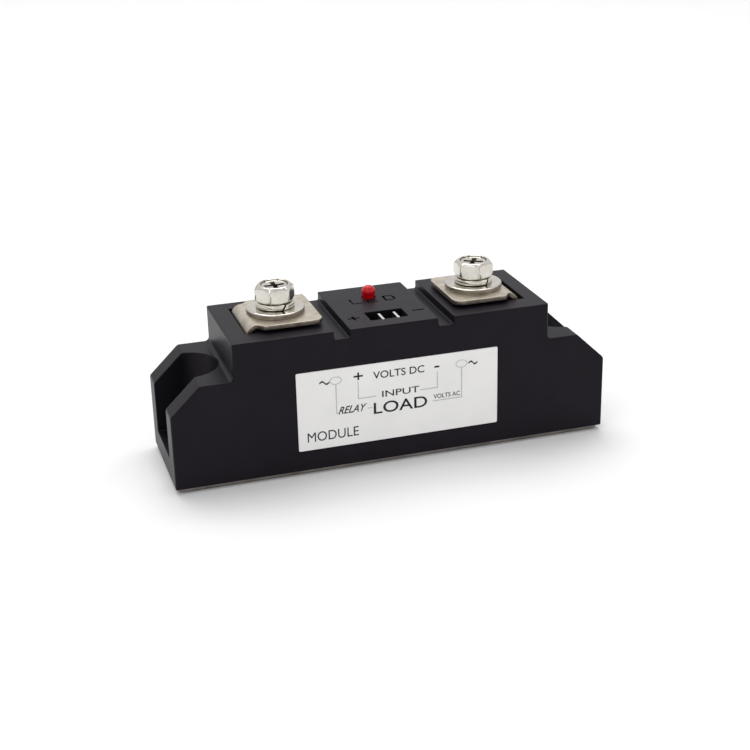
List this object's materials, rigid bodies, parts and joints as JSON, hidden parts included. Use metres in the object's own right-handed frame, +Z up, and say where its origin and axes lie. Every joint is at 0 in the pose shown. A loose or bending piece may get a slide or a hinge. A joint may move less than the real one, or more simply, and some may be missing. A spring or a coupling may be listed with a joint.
{
  "type": "solid state relay",
  "caption": "Panel-mount power switching module: long black housing on a metal base plate with slotted ears, bolted load terminals, a bladed control socket and a status lamp.",
  "frame": {"origin": "centre of the base plate's underside, the face that lies on a heatsink", "axes": "+Z up, away from the heatsink; X along the length; the labelled front faces -Y"},
  "size_m": [0.102, 0.0274, 0.0414],
  "materials": {
    "black_moulding": "fine satin texture",
    "plate_alloy": "milled",
    "sealant": "matte",
    "label_film": "satin",
    "red_lens": "gloss",
    "tinned_wire": "bright tin",
    "black_epoxy": "matte",
    "circuit_board": "satin",
    "capacitor_case": "satin",
    "resistor_coat": "satin",
    "varistor_coat": "satin",
    "white_ceramic": "matte",
    "silicone": "soft gloss",
    "copper": "satin",
    "silicon_chip": "polished",
    "strap_plating": "satin nickel plate",
    "zinc_steel": "zinc plate",
    "bright_plating": "bright nickel plate"
  },
  "bodies": {
    "module": {"housing": "black_moulding", "base_plate": "plate_alloy", "base_seal": "sealant", "front_label": "label_film", "status_lamp": "red_lens", "lamp_anode_lead": "tinned_wire", "lamp_cathode_lead": "tinned_wire", "positive_input_blade": "tinned_wire", "negative_input_blade": "tinned_wire", "input_header": "black_epoxy", "control_board": "circuit_board", "left_optocoupler": "black_epoxy", "right_optocoupler": "black_epoxy", "snubber_capacitor": "capacitor_case", "snubber_resistor": "resistor_coat", "varistor": "varistor_coat", "input_resistor": "resistor_coat", "protection_diode": "black_epoxy", "control_transistor": "black_epoxy", "ceramic_substrate": "white_ceramic", "silicone_gel": "silicone", "left_copper_pad": "copper", "right_copper_pad": "copper", "left_thyristor_chip": "silicon_chip", "right_thyristor_chip": "silicon_chip", "left_cathode_clip": "copper", "right_cathode_clip": "copper", "left_gate_wire": "tinned_wire", "right_gate_wire": "tinned_wire", "left_cathode_wire": "tinned_wire", "right_cathode_wire": "tinned_wire", "left_terminal_strap": "strap_plating", "right_terminal_strap": "strap_plating", "left_captive_nut": "zinc_steel", "right_captive_nut": "zinc_steel"},
    "left_washers": {"left_flat_washer": "bright_plating", "left_spring_washer": "bright_plating"},
    "left_bolt": {"left_terminal_bolt": "bright_plating"},
    "right_washers": {"right_flat_washer": "bright_plating", "right_spring_washer": "bright_plating"},
    "right_bolt": {"right_terminal_bolt": "bright_plating"}
  },
  "joints": [
    {"name": "left_bolt_lift", "type": "slide", "parent": "module", "child": "left_washers", "axis": [0, 0, 1], "range_m": [0, 0.0088]},
    {"name": "left_bolt_turn", "type": "hinge", "parent": "left_washers", "child": "left_bolt", "pos_m": [-0.0236, 0, 0.0373], "axis": [0, 0, 1], "range_deg": [0, 3965]},
    {"name": "right_bolt_lift", "type": "slide", "parent": "module", "child": "right_washers", "axis": [0, 0, 1], "range_m": [0, 0.0088]},
    {"name": "right_bolt_turn", "type": "hinge", "parent": "right_washers", "child": "right_bolt", "pos_m": [0.0236, 0, 0.0373], "axis": [0, 0, 1], "range_deg": [0, 3965]}
  ],
  "couplings": [
    {"joint": "left_bolt_turn", "follows": "left_bolt_lift", "rad_per_m": 7854},
    {"joint": "right_bolt_turn", "follows": "right_bolt_lift", "rad_per_m": 7854}
  ]
}
